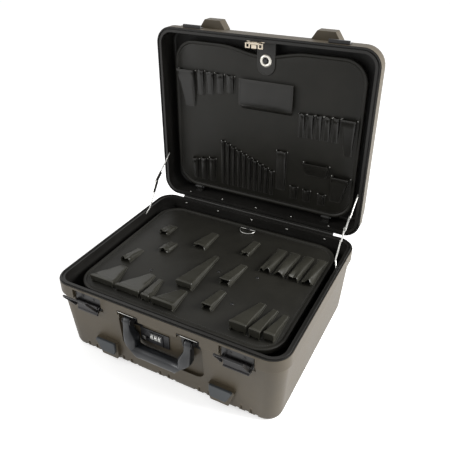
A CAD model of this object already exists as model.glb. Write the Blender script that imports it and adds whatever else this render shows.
"""Looks of an open hard tool case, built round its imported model."""
import logging
import math
from collections.abc import Callable
from dataclasses import dataclass
from enum import Enum
from typing import ClassVar

import bmesh
import bpy
from mathutils import Matrix, Vector


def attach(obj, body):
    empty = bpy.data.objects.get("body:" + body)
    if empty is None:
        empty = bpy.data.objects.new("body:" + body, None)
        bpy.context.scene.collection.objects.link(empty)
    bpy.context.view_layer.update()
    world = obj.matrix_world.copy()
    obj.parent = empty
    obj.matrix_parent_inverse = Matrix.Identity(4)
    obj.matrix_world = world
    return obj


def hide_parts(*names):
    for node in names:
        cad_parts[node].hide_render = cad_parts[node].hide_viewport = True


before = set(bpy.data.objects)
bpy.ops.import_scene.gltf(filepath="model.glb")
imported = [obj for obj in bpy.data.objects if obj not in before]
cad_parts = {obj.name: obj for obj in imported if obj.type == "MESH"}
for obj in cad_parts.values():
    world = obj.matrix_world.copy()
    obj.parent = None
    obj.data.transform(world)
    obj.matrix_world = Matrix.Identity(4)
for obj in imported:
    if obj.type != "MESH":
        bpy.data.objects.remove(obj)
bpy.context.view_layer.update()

MM = 0.001
LOG = logging.getLogger("tool_case")
Point = tuple[float, float, float]
Mesh = tuple[list[Point], list[tuple[int, ...]]]
# Puts a point in the case that is given on a pallet's own plane or on the shut lid, in millimetres
Place = Callable[[Point], Point]
BACK: Point = (0.0, 1.0, 0.0)
UP: Point = (0.0, 0.0, 1.0)
SIDES = (("left", -1), ("right", 1))


# ---------------------------------------------------------------- sizes shared with the solids
@dataclass(frozen=True)
class CaseSizes:
    """Sizes of the case, in millimetres, as its solids have them.

    Attributes:
        base_h: Height of the base's rim.
        hinge_y: Place of the hinge pin along Y.
        hinge_z: Height of the hinge pin.
        lid_open: Opening angle of the lid, in degrees.
        base_face: Height of the base pallet's face.
        lid_face: Height of the lid pallet's face, with the lid shut.
        lid_z: Height of the lid's rim, with the lid shut.
    """

    base_h: float = 149.0
    hinge_y: float = 187.0
    hinge_z: float = 150.3
    lid_open: float = 91.0
    base_face: float = 134.0
    lid_face: float = 177.6
    lid_z: float = 151.6

    def open_lid(self, point: Point) -> Point:
        """Turn a point of the shut lid to where it lies with the lid open.

        Args:
            point: A place on the shut lid, in millimetres.

        Returns:
            The same place on the open lid.
        """
        angle = math.radians(self.lid_open)
        y, z = point[1] - self.hinge_y, point[2] - self.hinge_z
        return (
            point[0],
            self.hinge_y + y * math.cos(angle) + z * math.sin(angle),
            self.hinge_z - y * math.sin(angle) + z * math.cos(angle),
        )

    def on_base_pallet(self, point: Point) -> Point:
        """Lift a point from a pallet's own plane to the base pallet's face."""
        return (point[0], point[1], point[2] + self.base_face)

    def on_lid_pallet(self, point: Point) -> Point:
        """Place a point of a pallet's own plane on the open lid's pallet."""
        return self.open_lid((point[0], point[1], self.lid_face - point[2]))


SIZES = CaseSizes()


def metres(points: list[Point]) -> list[Point]:
    """Give points in metres that are written in millimetres."""
    return [tuple(c * MM for c in p) for p in points]


def lerp(first: float, last: float, share: float) -> float:
    """Give the value at a share of the way from the first to the last."""
    return first + (last - first) * share


def shown_mesh(piece: bpy.types.Object) -> bpy.types.Mesh:
    """Give a new mesh of a piece as its modifiers leave it.

    Args:
        piece: The piece.

    Returns:
        The mesh.
    """
    bpy.context.view_layer.update()
    evaluated = piece.evaluated_get(bpy.context.evaluated_depsgraph_get())
    return bpy.data.meshes.new_from_object(evaluated)


def keep_modified(piece: bpy.types.Object) -> None:
    """Make the result of a piece's modifiers its plain mesh."""
    piece.data = shown_mesh(piece)
    piece.modifiers.clear()


# ---------------------------------------------------------------- node trees
class Val:
    """One output of a node, with operators that add Math nodes for expressions on it."""

    def __init__(self, tree: "Tree", socket: bpy.types.NodeSocket) -> None:
        """Keep the tree and the socket."""
        self.tree = tree
        self.socket = socket

    def __getitem__(self, name: str) -> "Val":
        """Give another output of the same node."""
        return Val(self.tree, self.socket.node.outputs[name])

    def _math(self, operation: str, first: "Val | float", second: "Val | float") -> "Val":
        """Add one Math node."""
        return self.tree.node(self.tree.MATH, {"operation": operation}, {0: first, 1: second})

    def __add__(self, other: "Val | float") -> "Val":
        """Add."""
        return self._math("ADD", self, other)

    __radd__ = __add__

    def __sub__(self, other: "Val | float") -> "Val":
        """Subtract."""
        return self._math("SUBTRACT", self, other)

    def __rsub__(self, other: float) -> "Val":
        """Subtract from a number."""
        return self._math("SUBTRACT", other, self)

    def __mul__(self, other: "Val | float") -> "Val":
        """Multiply."""
        return self._math("MULTIPLY", self, other)

    __rmul__ = __mul__

    def above(self, limit: float) -> "Val":
        """Give 1 where the value is over a limit, and 0 elsewhere."""
        return self._math("GREATER_THAN", self, limit)

    def smooth(self, low: float, high: float) -> "Val":
        """Give a smooth step from 0 at low to 1 at high."""
        return self.tree.node("ShaderNodeMapRange", {"interpolation_type": "SMOOTHSTEP"},
                              {0: self, 1: low, 2: high})


class Tree:
    """A node tree, with one method that adds any node."""

    MATH = "ShaderNodeMath"

    def __init__(self, tree: bpy.types.NodeTree) -> None:
        """Keep the tree and empty it."""
        self.tree = tree
        tree.nodes.clear()

    def node(self, kind: str, settings: dict | None = None, inputs: dict | None = None,
             out: int | str = 0) -> Val:
        """Add a node.

        Args:
            kind: The node's type.
            settings: Its settings, set before its inputs.
            inputs: Values or links for its sockets, by name or index.
            out: The output to give back.

        Returns:
            That output, or the node's first input where it has no output.
        """
        made = self.tree.nodes.new(kind)
        for key, value in (settings or {}).items():
            setattr(made, key, value)
        for key, value in (inputs or {}).items():
            socket = made.inputs[key]
            if isinstance(value, Val):
                self.tree.links.new(value.socket, socket)
            else:
                socket.default_value = value
        return Val(self, made.outputs[out] if made.outputs else made.inputs[0])


class Shader(Tree):
    """A material's tree."""

    def __init__(self, name: str) -> None:
        """Make the material and read its object coordinates.

        Args:
            name: The material's name.
        """
        self.material = bpy.data.materials.new(name)
        self.material.use_nodes = True
        super().__init__(self.material.node_tree)
        self.place = self.node("ShaderNodeTexCoord", out="Object")

    def noise(self, size_mm: float, detail: float = 3.0, place: Val | None = None,
              rough: float = 0.5) -> Val:
        """Add a noise whose features have a size in millimetres.

        Args:
            size_mm: Size of its features.
            detail: How many finer layers it has.
            place: Its coordinates, or None for the object's own.
            rough: How strong the finer layers are.

        Returns:
            The noise.
        """
        return self.node(
            "ShaderNodeTexNoise", {},
            {"Vector": place or self.place, "Scale": 1.0 / (size_mm * MM), "Detail": detail,
             "Roughness": rough},
        )

    def cells(self, size_mm: float, feature: str = "F1") -> Val:
        """Add a cell pattern whose cells have a size in millimetres."""
        inputs = {"Vector": self.place, "Scale": 1.0 / (size_mm * MM)}
        return self.node("ShaderNodeTexVoronoi", {"feature": feature}, inputs, out="Distance")

    def stretched(self, scale: Point, turn: Point = (0.0, 0.0, 0.0)) -> Val:
        """Give coordinates stretched and turned by fixed amounts."""
        return self.node("ShaderNodeMapping", {},
                         {"Vector": self.place, "Rotation": turn, "Scale": scale})

    def mix(self, factor: Val, first: Val | tuple, second: Val | tuple) -> Val:
        """Mix two colours."""
        mixed = self.node("ShaderNodeMix", {"data_type": "RGBA"}, {0: factor, 6: first, 7: second})
        return Val(self, mixed.socket.node.outputs[2])

    def bump(self, height: Val, depth_mm: float, strength: float = 1.0,
             under: Val | None = None) -> Val:
        """Turn a height into a bumped normal.

        Args:
            height: The height, from 0 to 1.
            depth_mm: How deep that is.
            strength: How much of it shows.
            under: The normal that it is laid over.

        Returns:
            The normal.
        """
        inputs = {"Height": height, "Distance": depth_mm * MM, "Strength": strength}
        if under is not None:
            inputs["Normal"] = under
        return self.node("ShaderNodeBump", {}, inputs)

    def surface(self, inputs: dict, plain: dict) -> bpy.types.Material:
        """Finish the material with one Principled shader.

        Args:
            inputs: What changes over the surface.
            plain: Numbers that are the same all over it.

        Returns:
            The material.
        """
        shader = self.node("ShaderNodeBsdfPrincipled", {}, {**inputs, **plain})
        self.node("ShaderNodeOutputMaterial", {}, {"Surface": shader})
        return self.material


class GeoTree(Tree):
    """A Geometry Nodes tree with named inputs, run on an object and made a plain mesh."""

    def __init__(self, name: str, inputs: dict[str, tuple[str, object]]) -> None:
        """Make the tree's interface.

        Args:
            name: The tree's name.
            inputs: Socket type and default of each named input.
        """
        group = bpy.data.node_groups.new(name, "GeometryNodeTree")
        super().__init__(group)
        group.interface.new_socket("Geometry", in_out="INPUT", socket_type="NodeSocketGeometry")
        for key, (kind, default) in inputs.items():
            made = group.interface.new_socket(key, in_out="INPUT", socket_type=kind)
            if default is not None:
                made.default_value = default
        group.interface.new_socket("Geometry", in_out="OUTPUT", socket_type="NodeSocketGeometry")
        self.start = self.node("NodeGroupInput")

    def scatter(self, points: Val, axis: Val, counts: tuple[int, int], size: list[Val]) -> None:
        """Put a round body on every point, give all of them the material and end the tree.

        Args:
            points: The points.
            axis: Where a body's own Z axis looks.
            counts: Segments and rings of a body.
            size: Its half sizes along its own X, Y and Z.
        """
        turn = self.node("FunctionNodeAlignRotationToVector", {"axis": "Z"}, {"Vector": axis})
        body = self.node("GeometryNodeMeshUVSphere", {},
                         {"Segments": counts[0], "Rings": counts[1], "Radius": 1.0})
        scale = self.node("ShaderNodeCombineXYZ", {}, dict(zip("XYZ", size)))
        placed = self.node("GeometryNodeInstanceOnPoints", {}, {
            "Points": points, "Instance": body, "Rotation": turn, "Scale": scale,
        })
        real = self.node("GeometryNodeRealizeInstances", {}, {"Geometry": placed})
        dressed = self.node(
            "GeometryNodeSetMaterial", {}, {"Geometry": real, "Material": self.start["Material"]}
        )
        output = self.tree.nodes.new("NodeGroupOutput")
        self.tree.links.new(dressed.socket, output.inputs[0])

    def run(self, obj: bpy.types.Object, values: dict) -> None:
        """Run the tree on an object and keep its result as the object's plain mesh.

        Args:
            obj: The object whose mesh the tree reads.
            values: The inputs' values, by name.
        """
        modifier = obj.modifiers.new(self.tree.name, "NODES")
        modifier.node_group = self.tree
        for item in self.tree.interface.items_tree:
            if item.in_out == "INPUT" and item.name in values:
                modifier[item.identifier] = values[item.name]
        keep_modified(obj)


# ---------------------------------------------------------------- finishes
def linear(red: int, green: int, blue: int) -> tuple[float, float, float, float]:
    """Give a colour that is written as the screen's 0 to 255 in the shader's linear numbers.

    Args:
        red: Its red, from 0 to 255.
        green: Its green.
        blue: Its blue.

    Returns:
        The colour.
    """
    def one(value: int) -> float:
        """Convert one channel."""
        share = value / 255.0
        return share / 12.92 if share <= 0.04045 else ((share + 0.055) / 1.055) ** 2.4
    return (one(red), one(green), one(blue), 1.0)


def shade(colour: tuple, factor: float) -> tuple:
    """Make a colour lighter or darker by a factor."""
    return tuple(min(1.0, c * factor) for c in colour[:3]) + (1.0,)


class Grain(Enum):
    """The small relief of a finish."""

    MOULDED = "moulded"
    LEATHER = "leather"
    BRUSHED = "brushed"
    SMOOTH = "smooth"


# What all finishes share: sizes of the drift of colour, the rubbing and the unevenness, in
# millimetres, the depth of that unevenness, and how much lighter than the colour rubbing is
DRIFT_MM, STREAK_MM, SAG_MM = 55.0, 9.0, 24.0
SAG_DEPTH_MM, RUB_GAIN = 0.25, 1.9


@dataclass(frozen=True)
class Finish:
    """How a surface looks.

    Attributes:
        name: The material's name.
        colour: Its base colour, in linear numbers.
        rough: Its roughness.
        grain: Its relief.
        grain_mm: Size of the relief's features.
        depth_mm: Depth of the relief.
        metal: Its metallic share.
        blotch: How much its colour drifts from place to place.
        scuff: How much light rubbing shows on it.
        coat: A clear coat's weight.
        edge_mm: Width of the worn light line along its edges, or 0.
        edge_gain: How many times lighter than the colour that line is.
        gloss: Strength of its plain reflection.
    """

    name: str
    colour: tuple
    rough: float = 0.5
    grain: Grain = Grain.SMOOTH
    grain_mm: float = 1.0
    depth_mm: float = 0.05
    metal: float = 0.0
    blotch: float = 0.15
    scuff: float = 0.1
    coat: float = 0.0
    edge_mm: float = 0.0
    edge_gain: float = 2.2
    gloss: float = 0.5

    @property
    def label(self) -> str:
        """Name the material apart from the solids' own."""
        return f"{self.name}_finish"

    def relief(self, shader: Shader) -> Val:
        """Make the height of the relief.

        Args:
            shader: The tree that takes the nodes.

        Returns:
            The height, from 0 to about 1.
        """
        if self.grain is Grain.LEATHER:
            wrinkle = shader.cells(self.grain_mm, "SMOOTH_F1")
            pore = shader.cells(self.grain_mm * 0.45)
            return wrinkle * 0.7 + pore * 0.3
        if self.grain is Grain.MOULDED:
            coarse = shader.noise(self.grain_mm, 2.0)
            fine = shader.cells(self.grain_mm * 0.5)
            return coarse * 0.6 + fine * 0.4
        if self.grain is Grain.BRUSHED:
            return shader.noise(self.grain_mm, 2.0, shader.stretched((0.04, 1.0, 1.0)))
        return shader.noise(self.grain_mm, 2.0)

    def build(self) -> bpy.types.Material:
        """Make the material.

        Returns:
            The material.
        """
        shader = Shader(self.label)
        broad = shader.noise(DRIFT_MM, 4.0, rough=0.6)
        low, high = shade(self.colour, 1.0 - self.blotch), shade(self.colour, 1.0 + self.blotch)
        colour = shader.mix(broad.smooth(0.3, 0.7), low, high)
        height = self.relief(shader)
        colour = shader.mix(height.smooth(0.2, 0.8) * 0.25, colour, low)
        skewed = shader.stretched((1.0, 0.25, 1.0), (0.3, 0.2, 0.5))
        streak = shader.noise(STREAK_MM, 5.0, skewed, 0.7)
        rubbed = streak.smooth(0.6, 0.78) * self.scuff
        colour = shader.mix(rubbed, colour, shade(self.colour, RUB_GAIN))
        if self.edge_mm:
            colour = shader.mix(self.edges(shader, streak), colour,
                                shade(self.colour, self.edge_gain))
        rough = broad * 0.12 + (self.rough - 0.06) + rubbed * 0.2
        normal = shader.bump(shader.noise(SAG_MM, 2.0), SAG_DEPTH_MM, 0.5)
        normal = shader.bump(height, self.depth_mm, 1.0, normal)
        inputs = {"Base Color": colour, "Roughness": rough, "Normal": normal}
        plain = {"Metallic": self.metal, "Coat Weight": self.coat, "Coat Roughness": 0.25,
                 "Specular IOR Level": self.gloss}
        return shader.surface(inputs, plain)

    def edges(self, shader: Shader, streak: Val) -> Val:
        """Make the mask of worn edges.

        Args:
            shader: The tree that takes the nodes.
            streak: Noise that breaks the line up.

        Returns:
            The mask, from 0 to 1.
        """
        soft = shader.node("ShaderNodeBevel", {"samples": 4}, {"Radius": self.edge_mm * MM})
        flat = shader.node("ShaderNodeNewGeometry", out="Normal")
        same = shader.node("ShaderNodeVectorMath", {"operation": "DOT_PRODUCT"},
                           {0: soft, 1: flat}, out="Value")
        return (1.0 - same).smooth(0.02, 0.3) * (streak * 0.6 + 0.15)


class Finishes(Enum):
    """Every finish of the case."""

    SHELL = Finish("shell_plastic", linear(72, 64, 50), 0.5, Grain.MOULDED, 0.9, 0.06,
                   blotch=0.1, scuff=0.1, edge_mm=1.6, gloss=0.4)
    LINER = Finish("shell_inside", linear(28, 27, 25), 0.5, Grain.MOULDED, 0.9, 0.06,
                   blotch=0.1, scuff=0.05, gloss=0.3)
    FRAME = Finish("rim_frame_paint", linear(30, 29, 27), 0.38, Grain.SMOOTH, 0.7, 0.02,
                   metal=0.1, scuff=0.3, edge_mm=0.5, edge_gain=3.5, gloss=0.35)
    HINGE = Finish("hinge_paint", linear(34, 33, 30), 0.5, Grain.BRUSHED, 0.5, 0.02,
                   metal=0.1, scuff=0.25)
    STEEL = Finish("bright_steel", linear(168, 167, 163), 0.3, Grain.BRUSHED, 0.4, 0.015,
                   metal=1.0, blotch=0.06, scuff=0.1)
    CHROME = Finish("dark_chrome", linear(25, 24, 24), 0.3, Grain.SMOOTH, 0.6, 0.012,
                    metal=0.25, blotch=0.1, scuff=0.15, edge_mm=0.6, edge_gain=30.0, gloss=0.45)
    LEVER = Finish("lever_paint", linear(27, 25, 26), 0.34, Grain.SMOOTH, 0.6, 0.015,
                   metal=0.15, scuff=0.25, edge_mm=0.6, edge_gain=24.0, gloss=0.4)
    HANDLE = Finish("handle_plastic", linear(24, 26, 29), 0.34, Grain.MOULDED, 0.8, 0.03,
                    blotch=0.12, scuff=0.12, coat=0.1, gloss=0.4)
    FOOT = Finish("foot_rubber", linear(50, 54, 57), 0.6, Grain.MOULDED, 0.8, 0.05,
                  scuff=0.2, edge_mm=1.0)
    LOCK = Finish("lock_plastic", linear(26, 26, 28), 0.42, Grain.SMOOTH, 0.6, 0.02, scuff=0.1)
    DIAL = Finish("dial_white", linear(226, 226, 222), 0.35, Grain.SMOOTH, 0.6, 0.01,
                  blotch=0.03, scuff=0.05, coat=0.3)
    DIGIT = Finish("digit_black", linear(20, 20, 22), 0.5, Grain.SMOOTH, 0.6, 0.01, scuff=0.0)
    BRASS = Finish("strike_brass", linear(212, 200, 180), 0.3, Grain.BRUSHED, 0.5, 0.02,
                   metal=0.8, blotch=0.1)
    NICKEL = Finish("ring_nickel", linear(232, 228, 218), 0.3, Grain.BRUSHED, 0.5, 0.01,
                    metal=0.5, blotch=0.04, scuff=0.05)
    POST = Finish("post_plastic", linear(30, 30, 30), 0.55, Grain.MOULDED, 0.8, 0.04)
    PALLET = Finish("pallet_vinyl", linear(31, 30, 26), 0.46, Grain.LEATHER, 1.5, 0.12,
                    blotch=0.14, scuff=0.04, gloss=0.22)
    POCKET = Finish("pocket_vinyl", linear(46, 45, 39), 0.38, Grain.LEATHER, 1.2, 0.09,
                    blotch=0.16, scuff=0.06, edge_mm=1.0, edge_gain=5.0, gloss=0.4)
    POUCH = Finish("pouch_vinyl", linear(30, 29, 26), 0.36, Grain.LEATHER, 1.2, 0.09,
                   blotch=0.16, scuff=0.06, edge_mm=1.1, edge_gain=9.0, gloss=0.35)
    THREAD = Finish("stitch_thread", linear(46, 45, 42), 0.7, Grain.BRUSHED, 0.2, 0.03,
                    blotch=0.1, scuff=0.0)

    @property
    def material(self) -> bpy.types.Material:
        """Give the material, which is made at its first use."""
        return bpy.data.materials.get(self.value.label) or self.value.build()


SLOTS = {
    Finishes.SHELL: "shell", Finishes.LINER: "shell", Finishes.CHROME: "bright_steel",
    Finishes.FRAME: "frame_black", Finishes.HINGE: "hinge_dark",
    Finishes.STEEL: "bright_steel", Finishes.LEVER: "lever_grey", Finishes.HANDLE: "handle_black",
    Finishes.FOOT: "foot_grey", Finishes.LOCK: "lock_case", Finishes.DIAL: "dial_white",
    Finishes.DIGIT: "lock_case", Finishes.BRASS: "strike_brass", Finishes.POST: "post_black",
    Finishes.PALLET: "pallet_vinyl", Finishes.POCKET: "pocket_vinyl",
    Finishes.NICKEL: "bright_steel", Finishes.THREAD: "pocket_vinyl",
    Finishes.POUCH: "pocket_vinyl",
}


# ---------------------------------------------------------------- pieces
def new_object(name: str, data: bpy.types.ID) -> bpy.types.Object:
    """Put a mesh, a curve, a lamp or a camera in the scene as an object.

    Args:
        name: The object's name.
        data: What it shows.

    Returns:
        The object.
    """
    made = bpy.data.objects.new(name, data)
    bpy.context.scene.collection.objects.link(made)
    return made


def settle(piece: bpy.types.Object, finish: Finishes, body: str, nodes: tuple[str, ...] = (),
           smooth: float = 35.0) -> bpy.types.Object:
    """Dress a finished piece and hand it to its body.

    Args:
        piece: The piece, with its final mesh.
        finish: Its finish.
        body: The body that it moves with.
        nodes: The solids that it stands for.
        smooth: Edges sharper than this angle stay sharp, in degrees, or 0 to keep its normals.

    Returns:
        The piece.
    """
    mesh = piece.data
    if not mesh.materials:
        mesh.materials.append(finish.material)
    if smooth:
        mesh.shade_smooth()
        mesh.set_sharp_from_angle(angle=math.radians(smooth))
    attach(piece, body)
    SLOTS[finish]
    if nodes:
        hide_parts(*nodes)
    LOG.info("%s: %d faces on %s", piece.name, len(mesh.polygons), body)
    return piece


def dress(node: str, finish: Finishes) -> None:
    """Give a solid that stays as it is its finish.

    Args:
        node: The solid.
        finish: The finish.
    """
    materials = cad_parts[node].data.materials
    materials.clear()
    materials.append(finish.material)


def from_points(name: str, parts: list[Mesh]) -> bpy.types.Object:
    """Make one object of several closed meshes given in millimetres.

    Args:
        name: The object's name.
        parts: The meshes.

    Returns:
        The object.
    """
    verts: list[Point] = []
    faces: list[tuple[int, ...]] = []
    for points, polygons in parts:
        start = len(verts)
        verts += metres(points)
        faces += [tuple(start + i for i in f) for f in polygons]
    mesh = bpy.data.meshes.new(name)
    mesh.from_pydata(verts, [], faces)
    work = bmesh.new()
    work.from_mesh(mesh)
    bmesh.ops.recalc_face_normals(work, faces=work.faces)
    work.to_mesh(mesh)
    work.free()
    return new_object(name, mesh)


def loft(rings: list[list[Point]]) -> Mesh:
    """Join closed rings of equal length into one closed mesh with flat ends.

    Args:
        rings: The rings, in order.

    Returns:
        The points and the faces.
    """
    count = len(rings[0])
    verts = [p for ring in rings for p in ring]
    faces = [
        (r * count + i, r * count + (i + 1) % count, (r + 1) * count + (i + 1) % count,
         (r + 1) * count + i)
        for r in range(len(rings) - 1) for i in range(count)
    ]
    faces.append(tuple(range(count)))
    faces.append(tuple(range((len(rings) - 1) * count, len(rings) * count)))
    return verts, faces


def lathe(section: list[tuple[float, float]], middle: tuple[float, float], place: Place,
          steps: int = 48) -> Mesh:
    """Turn a closed section round an upright axis.

    Args:
        section: The section's points as radius and height.
        middle: Place of the axis.
        place: Puts a turned point in the case.
        steps: Steps round the axis.

    Returns:
        The points and the faces.
    """
    verts = []
    count = len(section)
    for step in range(steps):
        a = math.tau * step / steps
        verts += [place((middle[0] + r * math.cos(a), middle[1] + r * math.sin(a), z))
                  for r, z in section]
    faces = [
        (s * count + i, s * count + (i + 1) % count,
         (s + 1) % steps * count + (i + 1) % count, (s + 1) % steps * count + i)
        for s in range(steps) for i in range(count)
    ]
    return verts, faces


def block(low: Point, high: Point, place: Place, edge: float = 0.4) -> Mesh:
    """Make a box with chamfered edges.

    Args:
        low: Its lowest corner.
        high: Its highest corner.
        place: Puts its points in the case.
        edge: Width of the chamfers.

    Returns:
        The points and the faces.
    """
    (x0, y0, z0), (x1, y1, z1) = low, high
    rings = []
    for y, inset in ((y0, edge), (y0 + edge, 0.0), (y1 - edge, 0.0), (y1, edge)):
        a, b, c, d = x0 + inset, x1 - inset, z0 + inset, z1 - inset
        corners = [(a, c + edge), (a + edge, c), (b - edge, c), (b, c + edge),
                   (b, d - edge), (b - edge, d), (a + edge, d), (a, d - edge)]
        rings.append([place((x, y, z)) for x, z in corners])
    return loft(rings)


@dataclass(frozen=True)
class Softener:
    """Copies hard solids with rounded edges, so that they catch the light as real ones do.

    Attributes:
        segments: Segments of a rounded edge.
        angle: Edges sharper than this are rounded, in degrees.
        crease: Edges that are still sharper than this stay sharp, in degrees.
        flat: Faces whose angle is less than this become one, in degrees.
        weld: Points that lie closer than this become one, in metres.
    """

    segments: int = 2
    angle: float = 35.0
    crease: float = 45.0
    flat: float = 0.8
    weld: float = 2e-6

    def copy(self, node: str, width_mm: float, finish: Finishes, body: str) -> bpy.types.Object:
        """Make the rounded copy of a node and let it stand for the node.

        Args:
            node: The node to copy.
            width_mm: Width of the rounding, or 0 for none.
            finish: Its finish.
            body: The body that it moves with.

        Returns:
            The piece.
        """
        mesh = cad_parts[node].data.copy()
        mesh.materials.clear()
        work = bmesh.new()
        work.from_mesh(mesh)
        bmesh.ops.remove_doubles(work, verts=work.verts, dist=self.weld)
        bmesh.ops.dissolve_limit(work, angle_limit=math.radians(self.flat), verts=work.verts,
                                 edges=work.edges)
        work.to_mesh(mesh)
        work.free()
        piece = new_object(f"{node}_soft", mesh)
        if width_mm:
            bevel = piece.modifiers.new("edges", "BEVEL")
            bevel.width = width_mm * MM
            bevel.segments = self.segments
            bevel.limit_method = "ANGLE"
            bevel.angle_limit = math.radians(self.angle)
            bevel.use_clamp_overlap = True
            keep_modified(piece)
        piece.data.shade_smooth()
        piece.data.set_sharp_from_angle(angle=math.radians(self.crease))
        piece.modifiers.new("normals", "WEIGHTED_NORMAL").keep_sharp = True
        keep_modified(piece)
        return settle(piece, finish, body, (node,), 0.0)


# ---------------------------------------------------------------- repeated small pieces
class Stitches:
    """Rows of thread stitches laid by Geometry Nodes along lines."""

    def __init__(self) -> None:
        """Build the tree."""
        tree = GeoTree("stitch_rows", {
            "Pitch": ("NodeSocketFloat", 0.004), "Length": ("NodeSocketFloat", 0.0026),
            "Thickness": ("NodeSocketFloat", 0.0004), "Seed": ("NodeSocketInt", 7),
            "Material": ("NodeSocketMaterial", None),
        })
        curve = tree.node("GeometryNodeMeshToCurve", {}, {"Mesh": tree.start["Geometry"]})
        rows = tree.node("GeometryNodeResampleCurve", {"mode": "LENGTH"},
                         {"Curve": curve, "Length": tree.start["Pitch"]})
        wide = tree.node("FunctionNodeRandomValue", {"data_type": "FLOAT"},
                         {2: 0.85, 3: 1.15, "Seed": tree.start["Seed"]}, out=1)
        thick = tree.start["Thickness"] * wide
        tree.scatter(rows, tree.node("GeometryNodeInputTangent"), (6, 4),
                     [thick, thick, tree.start["Length"] * 0.5])
        self.tree = tree

    def sew(self, name: str, lines: list[list[Point]], body: str) -> bpy.types.Object:
        """Sew along lines.

        Args:
            name: Name of the piece.
            lines: The lines, in millimetres.
            body: The body that carries them.

        Returns:
            The piece.
        """
        verts: list[Point] = []
        edges: list[tuple[int, int]] = []
        for line in lines:
            start = len(verts)
            verts += metres(line)
            edges += [(start + i, start + i + 1) for i in range(len(line) - 1)]
        mesh = bpy.data.meshes.new(name)
        mesh.from_pydata(verts, edges, [])
        piece = new_object(name, mesh)
        self.tree.run(piece, {"Material": Finishes.THREAD.material})
        return settle(piece, Finishes.THREAD, body, (), 60.0)


class Rivets:
    """Domed rivet heads placed by Geometry Nodes at points."""

    def __init__(self) -> None:
        """Build the tree."""
        tree = GeoTree("rivet_heads", {
            "Radius": ("NodeSocketFloat", 0.003), "Height": ("NodeSocketFloat", 0.0012),
            "Direction": ("NodeSocketVector", (0.0, 1.0, 0.0)),
            "Material": ("NodeSocketMaterial", None),
        })
        points = tree.node("GeometryNodeMeshToPoints", {}, {"Mesh": tree.start["Geometry"]})
        radius = tree.start["Radius"]
        tree.scatter(points, tree.start["Direction"], (20, 12),
                     [radius, radius, tree.start["Height"]])
        self.tree = tree

    def place(self, name: str, points: list[Point], radius: float, height: float,
              direction: Point, body: str, nodes: tuple[str, ...] = (),
              finish: Finishes = Finishes.STEEL) -> bpy.types.Object:
        """Place rivet heads.

        Args:
            name: Name of the piece.
            points: Middles of the heads' seats, in millimetres.
            radius: Radius of a head.
            height: How far a head stands proud.
            direction: The rivets' axis.
            body: The body that carries them.
            nodes: The solids that they stand for.
            finish: Their finish.

        Returns:
            The piece.
        """
        mesh = bpy.data.meshes.new(name)
        mesh.from_pydata(metres(points), [], [])
        piece = new_object(name, mesh)
        self.tree.run(piece, {"Radius": radius * MM, "Height": height * MM,
                              "Direction": direction, "Material": finish.material})
        return settle(piece, finish, body, nodes, 60.0)


# ---------------------------------------------------------------- pallets
def outline(width: float, depth: float, radius: float, steps: int = 14) -> list[tuple[float, float]]:
    """Give the points of a rounded rectangle about the origin.

    Args:
        width: Its width.
        depth: Its depth.
        radius: Its corners' radius.
        steps: Steps round each corner, and half of those along the front and along the back.

    Returns:
        The points, anticlockwise from the back end of the right edge.
    """
    points = []
    for quarter, (sx, sy) in enumerate(((1, 1), (-1, 1), (-1, -1), (1, -1))):
        cx, cy = sx * (width / 2 - radius), sy * (depth / 2 - radius)
        for i in range(steps + 1):
            a = math.radians(90 * (quarter + i / steps))
            points.append((cx + radius * math.cos(a), cy + radius * math.sin(a)))
        if quarter in (0, 2):
            run = 2 * steps
            ex = -cx
            points += [(cx + (ex - cx) * i / run, sy * depth / 2) for i in range(1, run)]
    return points


@dataclass
class Pallet:
    """A vinyl-covered board with a rolled edge.

    Attributes:
        node: The solid that it stands for.
        body: The body that it is.
        mid_y: Middle of the board along Y.
        thick: Its thickness.
        dip: Depth of the dip in its front edge.
        width: Its width.
        depth: Its depth.
        radius: Its corners' radius.
        roll: How far the rolled edge stands proud.
        dip_x: Middle of the dip.
        dip_half: Half the dip's width.
        seam_at: The seam's inset from the edge, and its height over the face.
    """

    node: str
    body: str
    mid_y: float
    thick: float
    dip: float = 0.0
    width: float = 402.0
    depth: float = 322.0
    radius: float = 46.0
    roll: float = 1.6
    dip_x: float = -5.0
    dip_half: float = 90.0
    seam_at: tuple[float, float] = (10.0, 0.15)

    def ring(self, inset: float, z: float) -> list[Point]:
        """Give the board's outline at an inset and a height.

        Args:
            inset: How far it lies inside the edge.
            z: Its height over the face.

        Returns:
            The outline's points.
        """
        points = []
        for x, y in outline(self.width - 2 * inset, self.depth - 2 * inset, self.radius - inset):
            share = abs(x - self.dip_x) / self.dip_half
            if self.dip and y < 0 and share < 1:
                y += self.dip * 0.5 * (1 + math.cos(math.pi * share))
            points.append((x, y + self.mid_y, z))
        return points

    def build(self, place: Place) -> bpy.types.Object:
        """Build the board.

        Args:
            place: Puts a point of the pallet's own plane in the case.

        Returns:
            The piece.
        """
        profile = [(2.0, -self.thick), (0.5, 1.0 - self.thick), (0.0, 3.0 - self.thick),
                   (0.0, -1.2), (0.25, 0.4), (1.1, 1.2), (2.6, self.roll), (4.3, self.roll),
                   (5.6, 1.1), (6.5, 0.2), (7.1, -0.35), (7.7, -0.3), (8.4, 0.0)]
        rings = [[place(p) for p in self.ring(inset, z)] for inset, z in profile]
        piece = from_points(f"{self.body}_board", [loft(rings)])
        return settle(piece, Finishes.PALLET, self.body, (self.node,), 60.0)

    def seam(self, place: Place) -> list[list[Point]]:
        """Give the seam line that runs inside the rolled edge."""
        ring = [place(p) for p in self.ring(*self.seam_at)]
        return [ring + ring[:1]]


class Cut(Enum):
    """How a pocket is folded."""

    GUSSET = "gusset"
    TUBE = "tube"


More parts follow.
